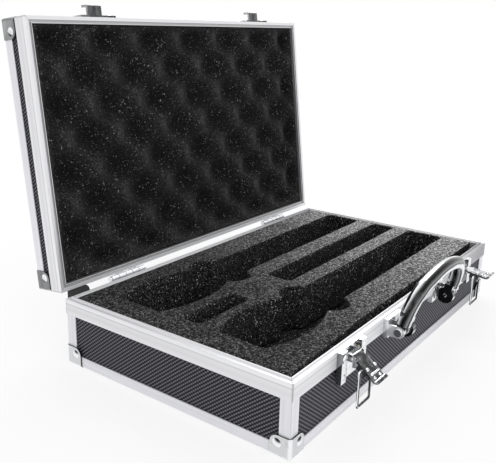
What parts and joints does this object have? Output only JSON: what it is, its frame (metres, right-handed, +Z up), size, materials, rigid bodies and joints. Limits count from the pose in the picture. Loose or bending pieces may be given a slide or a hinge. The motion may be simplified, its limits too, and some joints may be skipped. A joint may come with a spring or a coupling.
{
  "type": "microphone case",
  "caption": "Hard carrying case with hinged lid, draw latches and drop handle; its foam insert is cut to hold handheld microphones.",
  "frame": {"origin": "middle of the bottom panel's raised face, on the plane that the case stands on", "axes": "+X along the front to the right, +Y to the back (the hinges), +Z up"},
  "size_m": [0.3226, 0.2634, 0.2436],
  "materials": {
    "frame_aluminium": "satin, extruded, with faint lengthwise lines",
    "ribbed_panel": "dark grey sheet embossed with fine diagonal ribs",
    "nickel_caps": "bright nickel plate",
    "latch_chrome": "bright chrome plate",
    "hinge_steel": "zinc plate",
    "rivet_steel": "polished",
    "black_rubber": "matt",
    "pocket_foam": "dark grey open-cell foam, speckled",
    "egg_crate_foam": "near-black open-cell foam"
  },
  "bodies": {
    "base": {"base_bottom_panel": "ribbed_panel", "base_front_panel": "ribbed_panel", "base_back_panel": "ribbed_panel", "base_left_panel": "ribbed_panel", "base_right_panel": "ribbed_panel", "base_rim_front": "frame_aluminium", "base_rim_right": "frame_aluminium", "base_rim_back": "frame_aluminium", "base_rim_left": "frame_aluminium", "base_corner_posts": "frame_aluminium", "base_edge_front": "frame_aluminium", "base_edge_right": "frame_aluminium", "base_edge_back": "frame_aluminium", "base_edge_left": "frame_aluminium", "base_corner_caps": "nickel_caps", "base_cap_rivets": "rivet_steel", "foam_insert": "pocket_foam", "foam_floor_pad": "pocket_foam", "hinge_base_leaves": "hinge_steel", "hinge_base_rivets": "rivet_steel", "hinge_pins": "rivet_steel", "lid_stop_block": "black_rubber", "left_latch_plate": "latch_chrome", "right_latch_plate": "latch_chrome", "latch_plate_rivets": "rivet_steel", "lever_pins": "rivet_steel", "handle_brackets": "latch_chrome", "handle_bracket_rivets": "rivet_steel", "handle_pins": "rivet_steel"},
    "lid": {"lid_top_panel": "ribbed_panel", "lid_front_panel": "ribbed_panel", "lid_back_panel": "ribbed_panel", "lid_left_panel": "ribbed_panel", "lid_right_panel": "ribbed_panel", "lid_rim_front": "frame_aluminium", "lid_rim_right": "frame_aluminium", "lid_rim_back": "frame_aluminium", "lid_rim_left": "frame_aluminium", "lid_corner_posts": "frame_aluminium", "lid_edge_front": "frame_aluminium", "lid_edge_right": "frame_aluminium", "lid_edge_back": "frame_aluminium", "lid_edge_left": "frame_aluminium", "lid_corner_caps": "nickel_caps", "lid_cap_rivets": "rivet_steel", "egg_crate_lining": "egg_crate_foam", "hinge_lid_leaves": "hinge_steel", "hinge_lid_rivets": "rivet_steel", "left_keeper": "latch_chrome", "right_keeper": "latch_chrome", "keeper_rivets": "rivet_steel"},
    "left_lever": {"left_lever": "latch_chrome"},
    "right_lever": {"right_lever": "latch_chrome"},
    "left_bail": {"left_bail": "latch_chrome"},
    "right_bail": {"right_bail": "latch_chrome"},
    "handle": {"handle_grip": "latch_chrome"}
  },
  "joints": [
    {"name": "lid_hinge", "type": "hinge", "parent": "base", "child": "lid", "pos_m": [0, 0.0957, 0.0483], "axis": [1, 0, 0], "range_deg": [0, 97]},
    {"name": "left_lever_pivot", "type": "hinge", "parent": "base", "child": "left_lever", "pos_m": [-0.0965, -0.0977, 0.0418], "axis": [1, 0, 0], "range_deg": [0, 51]},
    {"name": "right_lever_pivot", "type": "hinge", "parent": "base", "child": "right_lever", "pos_m": [0.0965, -0.0977, 0.0418], "axis": [1, 0, 0], "range_deg": [0, 82]},
    {"name": "left_bail_pivot", "type": "hinge", "parent": "left_lever", "child": "left_bail", "pos_m": [-0.0965, -0.10419, 0.03551], "axis": [1, 0, 0], "range_deg": [-232, 0]},
    {"name": "right_bail_pivot", "type": "hinge", "parent": "right_lever", "child": "right_bail", "pos_m": [0.0965, -0.1065, 0.03975], "axis": [1, 0, 0], "range_deg": [-263, 0]},
    {"name": "handle_pivot", "type": "hinge", "parent": "base", "child": "handle", "pos_m": [0, -0.1033, 0.0405], "axis": [1, 0, 0], "range_deg": [0, 157]}
  ],
  "couplings": [
    {"joint": "left_bail_pivot", "follows": "left_lever_pivot", "ratio": -4.5294},
    {"joint": "right_bail_pivot", "follows": "right_lever_pivot", "ratio": -3.1951}
  ]
}
